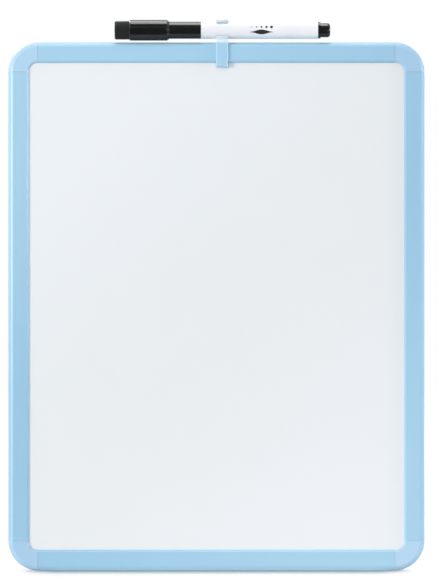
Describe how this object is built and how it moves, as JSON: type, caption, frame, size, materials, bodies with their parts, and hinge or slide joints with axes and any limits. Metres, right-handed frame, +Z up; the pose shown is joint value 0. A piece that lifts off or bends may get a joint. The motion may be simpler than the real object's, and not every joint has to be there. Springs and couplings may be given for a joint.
{
  "type": "desk whiteboard easel",
  "caption": "Magnetic dry-wipe board in a light blue frame that stands on a folding back leg, with a capped marker in a sliding clip above its top rail.",
  "frame": {"origin": "on the table, at the middle of the standing object's bounding box: Z = 0 is the table under the board's lower back edge and the leg's foot", "axes": "+Z up, +X to the reader's right along the board's width, -Y towards the reader; the board leans back towards +Y"},
  "size_m": [0.28, 0.112, 0.3631],
  "materials": {
    "frame_plastic": "moulded and extruded polystyrene, satin",
    "writing_surface": "glossy baked white paint on thin steel",
    "core_board": "bare fibreboard",
    "backing_plastic": "plain grey plastic sheet",
    "clip_plastic": "slightly translucent moulded polypropylene",
    "zinc_steel": "zinc plated",
    "foot_rubber": "matt moulded rubber",
    "barrel_plastic": "gloss white polypropylene",
    "black_plastic": "gloss black polypropylene",
    "ink_felt": "pressed fibre soaked in black ink",
    "holder_plastic": "satin natural plastic",
    "liner_plastic": "soft natural polyethylene",
    "eraser_felt": "dense dark felt"
  },
  "bodies": {
    "board": {"writing_sheet": "writing_surface", "panel_core": "core_board", "backing_sheet": "backing_plastic", "rail_left": "frame_plastic", "rail_top": "frame_plastic", "rail_right": "frame_plastic", "rail_bottom": "frame_plastic", "corner_bottom_left": "frame_plastic", "corner_top_left": "frame_plastic", "corner_top_right": "frame_plastic", "corner_bottom_right": "frame_plastic", "stand_bracket": "frame_plastic", "stand_screws": "zinc_steel", "hinge_pin": "zinc_steel"},
    "leg": {"stand_leg": "frame_plastic", "leg_foot": "foot_rubber"},
    "clip": {"marker_clip": "clip_plastic"},
    "marker": {"marker_barrel": "barrel_plastic", "marker_end_plug": "black_plastic", "marker_reservoir": "ink_felt", "marker_nib_holder": "holder_plastic", "marker_nib": "ink_felt"},
    "cap": {"marker_cap": "black_plastic", "cap_liner": "liner_plastic", "cap_eraser": "eraser_felt"}
  },
  "joints": [
    {"name": "stand_fold", "type": "hinge", "parent": "board", "child": "leg", "pos_m": [0, 0.00665, 0.23361], "axis": [-1, 0, 0], "range_deg": [0, 22.5]},
    {"name": "clip_slide", "type": "slide", "parent": "board", "child": "clip", "axis": [1, 0, 0], "range_m": [-0.119, 0.111]},
    {"name": "marker_slide", "type": "slide", "parent": "clip", "child": "marker", "axis": [1, 0, 0], "range_m": [-0.072, 0.031]},
    {"name": "cap_pull", "type": "slide", "parent": "marker", "child": "cap", "axis": [-1, 0, 0], "range_m": [0, 0.04]}
  ]
}
